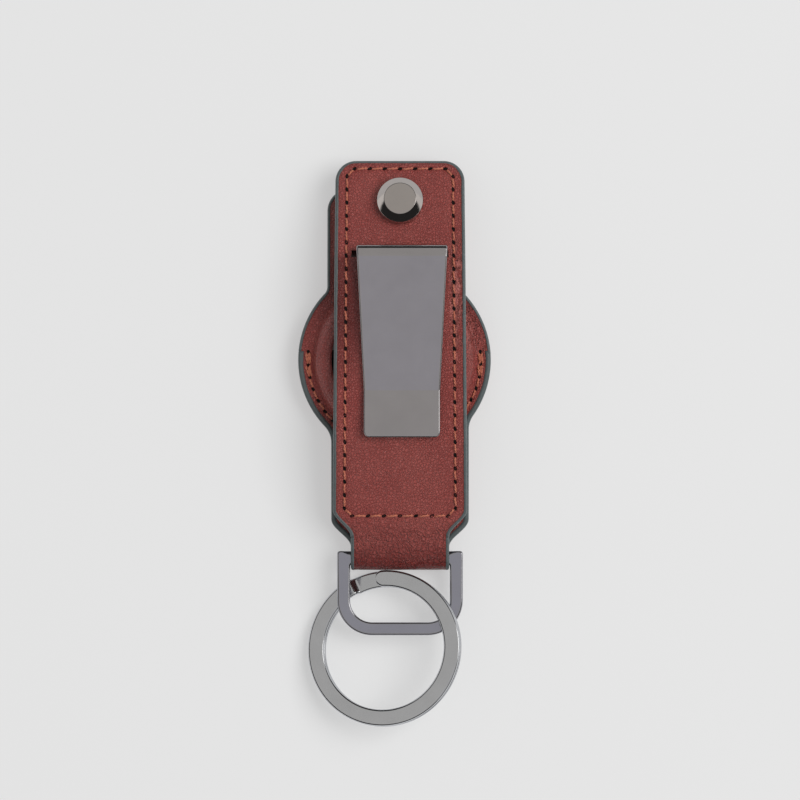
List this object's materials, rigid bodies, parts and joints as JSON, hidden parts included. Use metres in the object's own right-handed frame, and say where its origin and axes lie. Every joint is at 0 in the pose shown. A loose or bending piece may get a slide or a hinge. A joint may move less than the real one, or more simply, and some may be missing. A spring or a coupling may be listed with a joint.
{
  "type": "tracker tag holder",
  "caption": "Leather holder for a round tracker tag, with a snap strap over a moulded pocket, a spring belt clip, a D-ring and a split key ring.",
  "frame": {"origin": "on the table, on the pocket's flat base, under the pocket's centre on the strap's middle line", "axes": "+Y up the strap away from the key ring, +Z towards the side with the clip, +X to the right seen from that side"},
  "size_m": [0.0399, 0.1176, 0.0153],
  "materials": {
    "outer_leather": "semi-gloss fine grain",
    "lining_leather": "matt",
    "board": "raw bonded board",
    "thread": "waxed",
    "gunmetal": "polished dark nickel",
    "snap_steel": "plated"
  },
  "bodies": {
    "rear_strap": {"strap_loop": "outer_leather", "pocket_panel": "outer_leather", "rear_panel": "outer_leather", "pocket_needle_thread": "thread", "pocket_bobbin_thread": "thread", "snap_stud": "snap_steel", "snap_post": "snap_steel"},
    "front_strap": {"front_strap_skin": "outer_leather", "front_strap_core": "board", "front_strap_lining": "lining_leather", "front_needle_thread": "thread", "front_bobbin_thread": "thread", "snap_cap": "gunmetal", "snap_socket": "snap_steel", "snap_spring": "snap_steel", "clip_anchor": "gunmetal"},
    "clip": {"clip_leaf": "gunmetal"},
    "dee": {"d_ring": "gunmetal"},
    "keys": {"key_ring": "gunmetal"}
  },
  "joints": [
    {"name": "strap_open", "type": "hinge", "parent": "rear_strap", "child": "front_strap", "pos_m": [0, -0.0412, 0.00495], "axis": [1, 0, 0], "range_deg": [0, 90], "deforming": ["strap_loop"]},
    {"name": "clip_flex", "type": "hinge", "parent": "front_strap", "child": "clip", "pos_m": [0.0004, 0.02345, 0.01295], "axis": [-1, 0, 0], "range_deg": [0, 8], "stiffness_Nm_per_rad": 0.4, "springref_deg": -2.86},
    {"name": "dee_swing", "type": "hinge", "parent": "rear_strap", "child": "dee", "pos_m": [0, -0.0412, 0.00495], "axis": [-1, 0, 0], "range_deg": [-80, 20]},
    {"name": "key_ring_spin", "type": "hinge", "parent": "dee", "child": "keys", "pos_m": [-0.0032, -0.0601, 0.0059], "axis": [-0.2532, 0.1462, 0.9563], "continuous": true}
  ]
}
